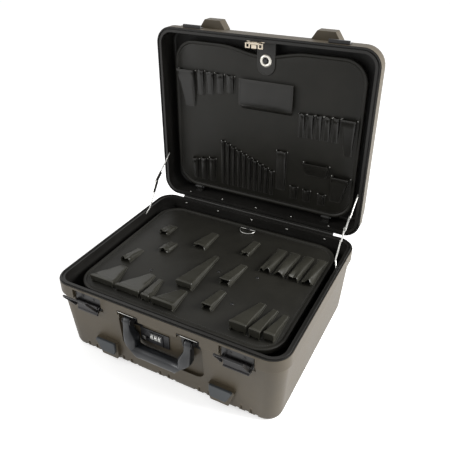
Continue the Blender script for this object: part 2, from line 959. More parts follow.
@dataclass(frozen=True)
class Pocket:
    """A vinyl pocket on a pallet, in the pallet's own plane.

    Attributes:
        x: Middle of its mouth along X.
        y: Its mouth's place along Y; the pocket runs from there towards +Y.
        length: Its length.
        width: Width of its mouth.
        height: Height of its mouth.
        end_w: Width of its closed end.
        shift: How far its end lies aside.
        cut: How it is folded.
        lipped: Whether the top hangs down over its mouth as a lip.
        crumple: How far its mouth is crushed, from 0 to 1.
        flange: Width of the flange on each side.
        flange_t: Thickness of the flange.
        skin: Thickness of the vinyl.
        hem: Length of the hem at the mouth.
        end_h: Height of its closed end.
        seam_in: How far the seam and the tacks lie inside the flange's edge.
        crushed: Share of the length over which a crushed mouth fades out.
        ruffle: How far a fully crushed mouth is pushed to and fro along Y.
    """

    x: float
    y: float
    length: float
    width: float
    height: float
    end_w: float
    shift: float = 0.0
    cut: Cut = Cut.GUSSET
    lipped: bool = False
    crumple: float = 0.0

    flange: ClassVar[float] = 1.8
    flange_t: ClassVar[float] = 0.7
    skin: ClassVar[float] = 1.1
    hem: ClassVar[float] = 5.0
    end_h: ClassVar[float] = 2.4
    seam_in: ClassVar[float] = 0.9
    crushed: ClassVar[float] = 0.4
    ruffle: ClassVar[float] = 2.4

    def at(self, t: float) -> tuple[float, float, float]:
        """Give the pocket's width, height and middle at a share of its length."""
        height = lerp(self.height, self.end_h, t ** 1.15)
        return lerp(self.width, self.end_w, t), height, self.x + self.shift * t

    def half(self, width: float, height: float) -> list[tuple[float, float]]:
        """Give the left half of the outer section, from the board up to the middle.

        Args:
            width: Width over the flanges.
            height: Height over the board.

        Returns:
            Points as x and height.
        """
        w, low = width / 2 - self.flange, self.flange_t
        rim = [(-w - self.flange, 0.0), (-w - self.flange, low)]
        if self.cut is Cut.TUBE:
            turns = [math.radians(90 * i / 7) for i in range(1, 8)]
            arc = [(-w * math.cos(a) ** 0.75, low + (height - low) * math.sin(a) ** 0.8)
                   for a in turns]
            return rim + [(-w, low)] + arc
        fold = min(0.34 * height, 0.3 * w)
        return rim + [
            (-w + 0.2 * fold, low), (-w + 0.55 * fold, 0.28 * height),
            (-w + fold, 0.5 * height), (-w + 0.5 * fold, 0.76 * height),
            (-w + 0.1, 0.93 * height), (-w + 0.9, height),
            (-w * 0.62, height), (0.0, height * 0.985)]

    def section(self, t: float, swell: float) -> list[Point]:
        """Give the closed band of the section at a share of the length.

        Args:
            t: Share of the length, from the mouth.
            swell: How far the outer skin is pushed out, as at the hem.

        Returns:
            The outer skin from left to right and the inner skin back.
        """
        width, height, mid = self.at(t)
        left = self.half(width, height)
        outer = left + [(-x, z) for x, z in reversed(left[:-1])]
        slack = self.crumple * max(0.0, 1.0 - t / self.crushed)
        outer = [(x, z * (1.0 - slack * self.dent(x / width)) if z > 1.0 else z) for x, z in outer]
        y = self.y + self.length * t
        wave = 0.25 * math.sin(0.55 * y + 0.7 * self.x) * min(1.0, 4.0 * t)
        inner = []
        for x, z in outer[2:-2]:
            inside = max(abs(x) - self.skin, 0.0) * (1 if x > 0 else -1)
            inner.append((inside, max(0.35, min(z - self.skin, height - self.skin))))
        inner = [(inner[0][0], 0.0)] + inner[1:-1] + [(inner[-1][0], 0.0)]
        raised = []
        for i, (x, z) in enumerate(outer):
            grow = swell if 2 < i < len(outer) - 3 else 0.0
            lift = wave * (z / max(height, 1.0)) if z > 1.0 else 0.0
            side = grow * (1 if x > 0 else -1) if abs(x) > 0.3 * width else 0.0
            raised.append((x + side, z + lift + (grow if z > 0.8 * height else 0.0)))
        ruffle = self.ruffle * slack
        return [(mid + x, y + ruffle * math.sin(11.0 * x / width + 0.5 * self.x), z)
                for x, z in raised + inner[::-1]]

    def dent(self, across: float) -> float:
        """Tell how deep the crushed mouth is dented at a share of its width."""
        return 0.28 + 0.28 * math.sin(9.5 * across + self.x)

    def mesh(self, place: Place) -> Mesh:
        """Make the pocket's closed mesh from sections at shares of its length.

        Args:
            place: Puts a point of the pallet's own plane in the case.

        Returns:
            The points and the faces.
        """
        hem = self.hem / self.length
        steps = 7
        stations = [(0.0, 0.2), (0.01, 0.5), (hem, 0.5), (hem + 0.012, 0.0)]
        stations += [(hem + 0.012 + (1 - hem - 0.012) * i / steps, 0.0) for i in range(1, steps)]
        stations += [(1.0, 0.0)]
        rings = [[place(p) for p in self.section(t, swell)] for t, swell in stations]
        return loft(rings)

    def lip(self, place: Place) -> Mesh:
        """Make the lip that hangs from the top of a gusset pocket's mouth.

        Args:
            place: Puts a point of the pallet's own plane in the case.

        Returns:
            The points and the faces.
        """
        half = self.width / 2 - self.flange - 0.5
        rings = []
        for i in range(9):
            u = -1 + i / 4
            droop = self.height * (0.2 + 0.1 * u * u)
            tuck = 1.2 + 0.5 * math.sin(3 * u + self.x)
            x, top = self.x + u * half, self.height + 0.4 - 1.2 * abs(u) ** 6
            ring = [(self.y - 0.6, top), (self.y - 1.1, top - 1.0),
                    (self.y - 0.8 + tuck, droop), (self.y + 0.5 + tuck, droop),
                    (self.y + 0.6, top - 1.5), (self.y + 3.0, top)]
            rings.append([place((x, y, z)) for y, z in ring])
        return loft(rings)

    def seams(self, place: Place) -> list[list[Point]]:
        """Give the stitch lines along both flanges and across the end.

        Args:
            place: Puts a point of the pallet's own plane in the case.

        Returns:
            The lines.
        """
        lines = []
        shares = (0.04, 0.3, 0.6, 0.97)
        for side in (-1, 1):
            line = []
            for t in shares:
                width, _, mid = self.at(t)
                line.append(place((mid + side * (width / 2 - self.seam_in),
                                   self.y + self.length * t, self.flange_t + 0.15)))
            lines.append(line)
        width, height, mid = self.at(shares[-1])
        y = self.y + self.length * shares[-1]
        w = width / 2 - self.flange - 1.0
        lines.append([place((mid - w, y, height + 0.1)), place((mid + w, y, height + 0.1))])
        return lines


def lipped(*sizes: float) -> Pocket:
    """Make a folded pocket with a lip over its mouth."""
    return Pocket(*sizes, lipped=True)


def tubes(rows: list[tuple[float, float, float, float, float]]) -> list[Pocket]:
    """Make round pockets, each from its x, its mouth's y, its length, width and height."""
    return [Pocket(x, y, length, w, h, w * 0.86, 0.0, Cut.TUBE, crumple=0.35)
            for x, y, length, w, h in rows]


@dataclass
class PocketRow:
    """The pockets that one solid stands for.

    Attributes:
        node: The solid.
        body: The pallet that carries them.
        pockets: The pockets.
        tack: Radius of a tack, and how far it stands proud.
        tack_in: How far a tack lies behind the mouth.
    """

    node: str
    body: str
    pockets: list[Pocket]
    tack: tuple[float, float] = (1.3, 0.9)
    tack_in: float = 2.2

    def build(self, place: Place, up: Point, stitches: Stitches, rivets: Rivets) -> None:
        """Build the pockets, sew them down and tack the corners of their mouths.

        Args:
            place: Puts a point of the pallet's own plane in the case.
            up: The direction that the pallet's face looks in.
            stitches: Sews them.
            rivets: Places the tacks.
        """
        parts = [p.mesh(place) for p in self.pockets]
        parts += [p.lip(place) for p in self.pockets if p.lipped]
        piece = from_points(f"{self.node}_vinyl", parts)
        on_lid = self.body == "lid_pallet"
        finish, head = ((Finishes.POUCH, Finishes.STEEL) if on_lid
                        else (Finishes.POCKET, Finishes.LEVER))
        settle(piece, finish, self.body, (self.node,), 38.0)
        stitches.sew(f"{self.node}_stitches", [s for p in self.pockets for s in p.seams(place)],
                     self.body)
        tacks = [place((p.x + side * (p.width / 2 - p.seam_in), p.y + self.tack_in, p.flange_t))
                 for p in self.pockets for side in (-1, 1)]
        rivets.place(f"{self.node}_tacks", tacks, *self.tack, up, self.body, (), head)


# Where the closed ends of the lid's low rows lie along Y
LOW_ROW_Y = 145.0
BASE_ROWS = [
    PocketRow("pockets_front_left", "base_pallet", [
        lipped(-149, -139, 64, 54, 15, 16, 2), lipped(-92, -140, 66, 54, 15, 16, 8),
        lipped(-53, -141, 62, 20, 14, 12, -8), lipped(-17, -142, 56, 48, 15, 16, 10)]),
    PocketRow("pockets_front_right", "base_pallet", [
        lipped(124, -136, 82, 34, 20, 14, 8), lipped(154, -137, 78, 23, 19, 12, 4),
        lipped(177, -132, 68, 22, 17, 12, 2)]),
    PocketRow("pockets_right_row", "base_pallet",
              [Pocket(97 + i * 27.5, 28 + i, 82, 25, 13, 22, 2, Cut.TUBE, crumple=1.0)
               for i in range(4)]),
    PocketRow("pockets_middle", "base_pallet", [
        lipped(-12, -80, 112, 36, 15, 12, 6), Pocket(48, -38, 68, 24, 13, 16, 6),
        Pocket(53, -112, 56, 22, 13, 16, 2)]),
    PocketRow("pockets_small", "base_pallet", [
        Pocket(-156, -62, 46, 22, 12, 20, 2, Cut.TUBE, crumple=0.6),
        Pocket(-108, -2, 36, 22, 11, 20, 2, crumple=0.6),
        Pocket(-144, 52, 36, 22, 11, 20, 2, crumple=0.6),
        Pocket(-52, 42, 60, 30, 11, 18, 4, crumple=0.6),
        Pocket(40, 62, 50, 20, 8, 18, 2, crumple=0.6)]),
]
LID_ROWS = [
    PocketRow("pockets_lid_top_left", "lid_pallet",
              [Pocket(-173, -99, 78, 42, 12, 24, 6)]
              + tubes([(-141 + i * 23, -101 + i, 52 - 5 * i, 21, 9) for i in range(4)])),
    PocketRow("pockets_lid_top_right", "lid_pallet",
              tubes([(84 + i * 17.0, -45 - i * 0.5, 50, 16.5, 9) for i in range(5)])
              + [Pocket(176, -48, 74, 32, 11, 16, 3)]),
    PocketRow("pockets_lid_tubes", "lid_pallet",
              tubes([(-89 + i * 12.7, 43 + i * 5, LOW_ROW_Y - 43 - i * 5, 11, 8)
                     for i in range(10)])),
    PocketRow("pockets_lid_low_left", "lid_pallet",
              tubes([(-157 + i * 21, 96 - i * 4, LOW_ROW_Y - 96 + i * 4, 18, 9)
                     for i in range(3)])),
    PocketRow("pockets_lid_low_right", "lid_pallet",
              tubes([(46, 40, 88, 25, 9), (76, 112, 30, 18, 9), (104, 114, 28, 18, 9),
                     (136, 116, 26, 18, 9)])
              + [Pocket(120, 53, 28, 56, 12, 44), Pocket(172, 70, 58, 40, 13, 22, -8)]),
]


@dataclass
class FlapPouch:
    """The pouch with a folded flap on the lid pallet, in the pallet's own plane.

    Attributes:
        x: Its middle along X.
        y: Its upper edge along Y.
        width: Its width.
        length: Its length.
        height: Its height.
        lip: How far the flap stands out on each side.
        flap_t: Thickness of the flap.
    """

    x: float = 8.0
    y: float = -96.0
    width: float = 108.0
    length: float = 60.0
    height: float = 9.0
    lip: float = 3.0
    flap_t: float = 1.6

    def puff(self, half_w: float, y0: float, y1: float, low: float, high: float,
             crown: float) -> Mesh:
        """Make a flat bag with rounded sides and a crowned top.

        Args:
            half_w: Half its width.
            y0: Its start along Y.
            y1: Its end along Y.
            low: Its underside's height.
            high: Its top's height at the rim.
            crown: How far its middle rises.

        Returns:
            The points and the faces.
        """
        rings = []
        steps = 16
        for i in range(steps + 1):
            t = i / steps
            y = lerp(y0, y1, t)
            edge = min(1.0, 6.0 * t + 0.35, 6.0 * (1 - t) + 0.35)
            top = low + (high - low) * edge
            ring = []
            for j in range(13):
                u = -1 + j / 6
                rise = crown * (1 - u * u) * math.sin(math.pi * t)
                crease = 0.3 * math.sin(9 * u + 5 * t) * math.sin(math.pi * t)
                round_off = 1.0 - 0.5 * max(0.0, abs(u) - 0.9) / 0.1
                ring.append((self.x + u * half_w, y, low + (top - low) * round_off + rise + crease))
            ring += [(self.x + half_w, y, low), (self.x - half_w, y, low)]
            rings.append(ring)
        return loft(rings)

    def build(self, place: Place, stitches: Stitches) -> None:
        """Build the pouch, its flap and the flap's seam.

        Args:
            place: Puts a point of the pallet's own plane in the case.
            stitches: Sews the seam.
        """
        bag = self.puff(self.width / 2, self.y + 2, self.y + self.length, 0.0, self.height - 1, 1.0)
        top = self.height + 0.2
        flap = self.puff(self.width / 2 + self.lip, self.y - 1, self.y + self.length - 8,
                         top, top + self.flap_t, 1.6)
        placed = [([place(p) for p in verts], faces) for verts, faces in (bag, flap)]
        piece = from_points("pocket_lid_flap_vinyl", placed)
        settle(piece, Finishes.POUCH, "lid_pallet", ("pocket_lid_flap",), 50.0)
        w, y = self.width / 2 + self.lip - 3, self.y + self.length - 11
        line = [(self.x - w, self.y + 3), (self.x - w, y), (self.x + w, y), (self.x + w, self.y + 3)]
        seam = [place((px, py, top + self.flap_t + 0.3)) for px, py in line]
        stitches.sew("pocket_lid_flap_stitches", [seam], "lid_pallet")


# ---------------------------------------------------------------- sub-assemblies
# The room inside the base: half its width, its ends along Y, and its floor and rim
ROOM_X, ROOM_Y, ROOM_Z = 214.0, (-169.9, 176.0), (3.4, 147.0)
# In front of this the base's walls stand round the latches and the handle
HOLLOW_Y = -160.0
# Height of the lid's middle with the lid shut, and where the open lid's room begins along Y
LID_MID, LID_ROOM_Y = 178.0, 190.0
# A wall lies inside where at least this share of its normal looks towards the middle
INWARD = 0.3


@dataclass
class Shells:
    """Both shells with their rims, hinge, feet and bumpers.

    Attributes:
        rivet_pitch: Distance between the hinge's rivets.
        rivet_drop: How far above or below the hinge pin they lie, with the lid shut.
        rivet_r: Radius of a rivet's head.
        rivet_h: How far a head stands proud.
        leaf_y: Seat of the outer heads along Y.
        strip_y: Seat of the inner heads along Y.
        seal_half: Half the length of the lips beside the hinge's knuckles.
        seal_y: Front and back of those lips.
        seal_h: Heights of the base's lip and of the lid's.
    """

    rivet_pitch: float = 81.5
    rivet_drop: float = 7.5
    rivet_r: float = 2.3
    rivet_h: float = 1.3
    leaf_y: float = 185.2
    strip_y: float = 174.0
    seal_half: float = 176.0
    seal_y: tuple[float, float] = (182.4, 183.9)
    seal_h: tuple[float, float] = (0.6, 1.5)

    def build(self, soft: Softener, rivets: Rivets) -> None:
        """Build the shells, then what is fixed to them.

        Args:
            soft: Copies the solids.
            rivets: Places the rivets.
        """
        self.line(soft.copy("base_shell", 0.9, Finishes.SHELL, "root"), self.inside_base)
        self.line(soft.copy("lid_shell", 0.9, Finishes.SHELL, "lid"), self.inside_lid)
        soft.copy("lid_bumpers", 1.6, Finishes.SHELL, "lid")
        soft.copy("front_feet", 1.0, Finishes.FOOT, "root")
        soft.copy("base_rim_frame", 0.3, Finishes.FRAME, "root")
        soft.copy("lid_rim_frame", 0.3, Finishes.FRAME, "lid")
        soft.copy("hinge_base_leaf", 0.25, Finishes.HINGE, "root")
        soft.copy("hinge_lid_leaf", 0.25, Finishes.HINGE, "lid")
        soft.copy("pallet_rests", 0.6, Finishes.POST, "root")
        dress("hinge_pin", Finishes.HINGE)
        self.rivet_heads(rivets)
        self.seals()

    def seals(self) -> None:
        """Lay the two thin lips that close the slits beside the hinge's knuckles."""
        (y0, y1), (low, high), x = self.seal_y, self.seal_h, self.seal_half
        base = block((-x, y0, SIZES.base_h), (x, y1, SIZES.base_h + low), tuple, 0.2)
        lid = block((-x, y0, SIZES.lid_z - high), (x, y1, SIZES.lid_z), SIZES.open_lid, 0.2)
        settle(from_points("hinge_seal_base", [base]), Finishes.FRAME, "root")
        settle(from_points("hinge_seal_lid", [lid]), Finishes.FRAME, "lid")

    @staticmethod
    def line(piece: bpy.types.Object, inside: Callable[[Vector, Vector], bool]) -> None:
        """Give the inner faces of a shell their darker finish.

        Args:
            piece: The shell.
            inside: Tells from a face's middle, in millimetres, and its normal.
        """
        piece.data.materials.append(Finishes.LINER.material)
        for face in piece.data.polygons:
            if inside(face.center / MM, face.normal):
                face.material_index = 1

    @staticmethod
    def inside_base(at: Vector, normal: Vector) -> bool:
        """Tell whether a face of the base lies inside it.

        Args:
            at: The face's middle, in millimetres.
            normal: Where the face looks.

        Returns:
            Whether it does.
        """
        x, y, z = at
        if abs(normal.z) > 0.7:
            within = abs(x) < ROOM_X and ROOM_Y[0] < y < ROOM_Y[1] and ROOM_Z[0] < z < ROOM_Z[1]
            return normal.z > 0 and within
        inward = normal.x * x + normal.y * y < -INWARD * math.hypot(x, y)
        return inward and (y > HOLLOW_Y or normal.y > INWARD)

    @staticmethod
    def inside_lid(at: Vector, normal: Vector) -> bool:
        """Tell whether a face of the open lid lies inside it.

        Args:
            at: The face's middle, in millimetres.
            normal: Where the face looks.

        Returns:
            Whether it does.
        """
        height = at.z - SIZES.open_lid((0.0, 0.0, LID_MID))[2]
        facing = (normal.x * at.x < -INWARD * abs(at.x)
                  or normal.z * height < -INWARD * abs(height) or normal.y < -0.5)
        return at.y > LID_ROOM_Y and facing

    def rivet_heads(self, rivets: Rivets) -> None:
        """Place the hinge's rivet heads, inside and outside.

        Args:
            rivets: Places them.
        """
        xs = [i * self.rivet_pitch for i in range(-2, 3)]
        for node, body, sign, place, aim in (
                ("hinge_base_rivets", "root", -1, tuple, BACK),
                ("hinge_lid_rivets", "lid", 1, SIZES.open_lid, UP)):
            z = SIZES.hinge_z + sign * self.rivet_drop
            seats = [place((x, y, z)) for x in xs for y in (self.leaf_y, self.strip_y)]
            rivets.place(f"{node}_domed", seats, self.rivet_r, self.rivet_h, aim, body, (node,))


@dataclass
class Stays:
    """The two folding stays.

    Attributes:
        arms: The arms of one stay.
    """

    arms: tuple[str, ...] = ("stay_lower", "stay_upper")

    def build(self, soft: Softener) -> None:
        """Build the arms of both stays.

        Args:
            soft: Copies the solids.
        """
        for side, _ in SIDES:
            for arm in self.arms:
                node = f"{arm}_{side}"
                soft.copy(node, 0.0, Finishes.STEEL, node)


@dataclass
class Latches:
    """Both draw latches, with their rivets.

    Attributes:
        latch_x: Middle of a latch along X.
        rivet_x: How far a rivet lies from that middle.
        plate_rivet_z: Height of the plates' rivets.
        keeper_rivet_z: Height of the keepers' rivets, with the lid shut.
        plate_y: Seat of the heads on the plates along Y.
        keeper_y: Seat of the heads on the keepers along Y.
        inner_y: Seat of the heads inside the walls along Y.
        head: Radius of a head, and how far it stands proud.
    """

    latch_x: float = 147.0
    rivet_x: float = 12.0
    plate_rivet_z: float = 134.0
    keeper_rivet_z: float = 166.1
    plate_y: float = -179.5
    keeper_y: float = -185.3
    inner_y: float = -175.5
    head: tuple[float, float] = (2.8, 1.1)

    def build(self, soft: Softener, rivets: Rivets) -> None:
        """Build the latches and their rivets.

        Args:
            soft: Copies the solids.
            rivets: Places the rivets.
        """
        for side, _ in SIDES:
            soft.copy(f"latch_plate_{side}", 0.25, Finishes.CHROME, "root")
            soft.copy(f"latch_lever_{side}", 0.4, Finishes.LEVER, f"latch_lever_{side}")
            soft.copy(f"latch_bail_{side}", 0.3, Finishes.CHROME, f"latch_bail_{side}")
            soft.copy(f"latch_keeper_{side}", 0.25, Finishes.CHROME, "lid")
        xs = [s * self.latch_x + t * self.rivet_x for s in (-1, 1) for t in (-1, 1)]
        for node, body, outer_y, z, place, aim in (
                ("latch_rivets", "root", self.plate_y, self.plate_rivet_z, tuple, BACK),
                ("keeper_rivets", "lid", self.keeper_y, self.keeper_rivet_z, SIZES.open_lid, UP)):
            seats = [place((x, y, z)) for x in xs for y in (outer_y, self.inner_y)]
            rivets.place(f"{node}_domed", seats, *self.head, aim, body, (node,), Finishes.CHROME)


@dataclass
class Handle:
    """The handle, whose cheeks widen into a round grip, with its brackets.

    Attributes:
        width: Its width over the cheeks.
        cheek: Thickness of a cheek at its pivot.
        corner: Thickness where a cheek meets the grip.
        pivot_r: Radius of a cheek's round end.
        grip_r: Radius of the grip.
        deep: Half the depth where a cheek meets the grip.
        waist: How far the grip narrows between its corner and its middle.
        squares: Powers of the outline at a cheek, at a corner and at the grip.
        pivot_y: Place of the pivots along Y.
        pivot_z: Height of the pivots.
        drop: How far the grip hangs below them.
        out: How far the grip lies in front of them.
        bend: Radius of the corners' middle line.
        neck: How far a cheek keeps its thickness below the pivot.
        lip_x: Ends of the bright lip over a bracket.
        lip_y: Back of that lip, on the bracket's front edge.
        lip_z: Top of that lip.
        lip_size: Its depth and its height.
    """

    width: float = 134.0
    cheek: float = 13.0
    corner: float = 25.0
    pivot_r: float = 8.0
    grip_r: float = 11.5
    deep: float = 13.0
    waist: float = 0.2
    squares: Point = (5.0, 2.7, 2.3)
    pivot_y: float = -182.0
    pivot_z: float = 120.0
    drop: float = 57.0
    out: float = 4.0
    bend: float = 21.0
    neck: float = 9.0
    lip_x: tuple[float, float] = (46.0, 78.0)
    lip_y: float = -184.9
    lip_z: float = 135.5
    lip_size: tuple[float, float] = (1.0, 1.3)

    def ring(self, x: float, z: float, turn: float, half: float, deep: float,
             square: float) -> list[Point]:
        """Give one section of the handle.

        Args:
            x: Middle of the section along X.
            z: Its height.
            turn: Turn of the section's plane about Y, in degrees.
            half: Half its width.
            deep: Half its depth.
            square: Power of its outline, which is 2 for an ellipse.

        Returns:
            The section's points.
        """
        y = self.pivot_y - self.out * min(1.0, (self.pivot_z - z) / self.drop)
        across, up = math.cos(math.radians(turn)), math.sin(math.radians(turn))
        points = []
        for i in range(36):
            a = math.radians(10 * i)
            c, d = math.cos(a), math.sin(a)
            u = half * math.copysign(abs(c) ** (2 / square), c)
            v = deep * math.copysign(abs(d) ** (2 / square), d)
            points.append((x + u * across, y + v, z - u * up))
        return points

    def half_rings(self) -> list[list[Point]]:
        """Give the sections from the left pivot to the middle of the grip.

        Returns:
            The sections.
        """
        rings = []
        edge = -self.width / 2
        flat, round_off, oval = self.squares
        for i in range(9):
            a = math.radians(90 * (0.08 + 0.92 * i / 8))
            rings.append(self.ring(edge + self.cheek / 2,
                                   self.pivot_z + self.pivot_r * math.cos(a), 0.0,
                                   self.cheek / 2 - 1.2 * math.cos(a) ** 3,
                                   self.pivot_r * math.sin(a), flat))
        low = self.pivot_z - self.drop
        top, end = self.pivot_z - self.neck, low + self.bend
        for i in range(9):
            t = i / 8
            ease = t * t * (3 - 2 * t)
            thick = lerp(self.cheek, self.corner, ease)
            rings.append(self.ring(edge + thick / 2, lerp(top, end, t), 0.0, thick / 2,
                                   lerp(self.pivot_r, self.deep, ease),
                                   lerp(flat, round_off, ease)))
        middle = edge + self.corner / 2
        for i in range(1, 10):
            a = 10 * i
            c, d = math.cos(math.radians(a)), math.sin(math.radians(a))
            grip = max(0.0, (a - 45) / 45) ** 2
            rings.append(self.ring(middle + self.bend * (1 - c), low + self.bend * (1 - d), a,
                                   lerp(self.corner / 2, self.grip_r, grip),
                                   lerp(self.deep, self.grip_r, grip),
                                   lerp(round_off, oval, grip)))
        start = middle + self.bend
        for i in range(1, 6):
            slim = self.grip_r - self.waist * math.sin(math.pi * min(1.0, i / 3))
            rings.append(self.ring(start * (1 - i / 5), low, 90.0, slim, slim, oval))
        return rings

    def build(self, soft: Softener) -> None:
        """Build the handle, its brackets and the lips over them.

        Args:
            soft: Copies the brackets.
        """
        left = self.half_rings()
        right = [[(-x, y, z) for x, y, z in ring] for ring in reversed(left[:-1])]
        piece = from_points("handle_moulded", [loft(left + right)])
        settle(piece, Finishes.HANDLE, "handle", ("handle",), 60.0)
        depth, height = self.lip_size
        for side, sign in SIDES:
            soft.copy(f"handle_bracket_{side}", 0.25, Finishes.CHROME, "root")
            x0, x1 = sorted(sign * x for x in self.lip_x)
            lip = block((x0, self.lip_y - depth, self.lip_z - height),
                        (x1, self.lip_y, self.lip_z), tuple, 0.3)
            settle(from_points(f"handle_lip_{side}", [lip]), Finishes.STEEL, "root")


# Boxes of the strike: ends along X, along Y from its plate's front, and in height, lid shut
STRIKE = (
    (-26, 10, 0, 2, 152.6, 169.6),  # the plate
    (-19, -13.5, 0.5, 2.5, 141.6, 155.6), (-2.5, 3, 0.5, 2.5, 141.6, 155.6),  # the tongue
    (-14, -2, 0.5, 2.5, 141.6, 143.6), (-14, -2, 0.5, 2.5, 147.6, 155.6),  # round its eye
    (-20, 0, 3, 6, 149.6, 153), (-15, -5, 6, 13, 149.2, 151.5),  # the hook
)
# The same for the frame of one slot beside the hook, from the slot's own place along X
SLOT_FRAME = ((0, 2.6, 3, 13), (7.4, 10, 3, 13), (2, 8, 3, 5.4), (2, 8, 10.6, 13))
SLOT_AT, SLOT_Z = (-28, -2), (149.6, 152.4)


@dataclass
class Lock:
    """The number lock, with plain digits on its wheels.

    Attributes:
        pitch: Distance between the wheels.
        first_x: Middle of the first wheel along X.
        dial_y: Place of the axle along Y.
        dial_z: Height of the axle.
        dial_r: Radius of a wheel.
        digit_h: Height of a digit.
        digit_t: How far a digit stands proud of its wheel.
        font_gain: Size of the font for each millimetre of a digit's height.
        strike_y: Front of the strike's plate along Y, with the lid shut.
    """

    pitch: float = 7.5
    first_x: float = -19.0
    dial_y: float = -169.0
    dial_z: float = 93.0
    dial_r: float = 7.0
    digit_h: float = 3.4
    digit_t: float = 0.12
    font_gain: float = 1.35
    strike_y: float = -174.0

    def build(self, soft: Softener) -> None:
        """Build the lock, its wheels and the strike.

        Args:
            soft: Copies the solids.
        """
        soft.copy("lock_body", 0.4, Finishes.LOCK, "root")
        soft.copy("lock_release", 0.4, Finishes.STEEL, "lock_release")
        self.strike()
        dress("lock_axle", Finishes.STEEL)
        for wheel in range(3):
            soft.copy(f"lock_dial_{wheel + 1}", 0.25, Finishes.DIAL, f"lock_dial_{wheel + 1}")
            self.digits(wheel)

    def strike(self) -> None:
        """Build the strike on the lid: its plate, its tongue with an eye, and its hook."""
        boxes = list(STRIKE)
        boxes += [(x + x0, x + x1, y0, y1, *SLOT_Z)
                  for x in SLOT_AT for x0, x1, y0, y1 in SLOT_FRAME]
        parts = [block((x0, self.strike_y + y0, z0), (x1, self.strike_y + y1, z1), SIZES.open_lid)
                 for x0, x1, y0, y1, z0, z1 in boxes]
        settle(from_points("lock_strike_folded", parts), Finishes.BRASS, "lid", ("lock_strike",))

    def digits(self, wheel: int) -> None:
        """Set the ten digits round one wheel.

        Args:
            wheel: The wheel's number, from 0.
        """
        joined = bmesh.new()
        centre = Vector((self.first_x + wheel * self.pitch, self.dial_y, self.dial_z)) * MM
        out = Matrix.Translation(Vector((0.0, -self.dial_r * MM, 0.0)))
        stand = Matrix.Rotation(math.radians(90), 4, "X")
        for digit in range(10):
            curve = bpy.data.curves.new("digit", "FONT")
            curve.body = str(digit)
            curve.size = self.digit_h * MM * self.font_gain
            curve.extrude = self.digit_t * MM
            curve.align_x, curve.align_y = "CENTER", "CENTER"
            text = new_object("digit", curve)
            mesh = shown_mesh(text)
            bpy.data.objects.remove(text)
            turn = Matrix.Rotation(math.radians(36 * digit), 4, "X")
            mesh.transform(Matrix.Translation(centre) @ turn @ out @ stand)
            joined.from_mesh(mesh)
        result = bpy.data.meshes.new("digits")
        joined.to_mesh(result)
        joined.free()
        piece = new_object(f"lock_digits_{wheel + 1}", result)
        settle(piece, Finishes.DIGIT, f"lock_dial_{wheel + 1}")


@dataclass
class BasePallet:
    """The base's pallet with its pockets, ring and studs.

    Attributes:
        stud_at: Where the studs stand on the pallet.
        stud: Radius of a stud, and how far it stands proud.
    """

    stud_at: tuple[tuple[float, float], ...] = ((20, -8), (84, -78), (92, 8), (-96, -62))
    stud: tuple[float, float] = (3.2, 1.8)

    def build(self, soft: Softener, stitches: Stitches, rivets: Rivets) -> None:
        """Build the board, then what it carries.

        Args:
            soft: Copies the solids.
            stitches: Sews the seams.
            rivets: Places the rivets.
        """
        place = SIZES.on_base_pallet
        board = Pallet("base_pallet", "base_pallet", 2.0, 10.0)
        board.build(place)
        stitches.sew("base_pallet_stitches", board.seam(place), "base_pallet")
        for row in BASE_ROWS:
            row.build(place, UP, stitches, rivets)
        soft.copy("pallet_ring", 0.0, Finishes.STEEL, "pull_ring")
        soft.copy("pallet_ring_clip", 0.2, Finishes.CHROME, "base_pallet")
        seats = [place((x, y, 0.0)) for x, y in self.stud_at]
        rivets.place("pallet_studs_domed", seats, *self.stud, UP, "base_pallet",
                     ("pallet_studs",), Finishes.CHROME)


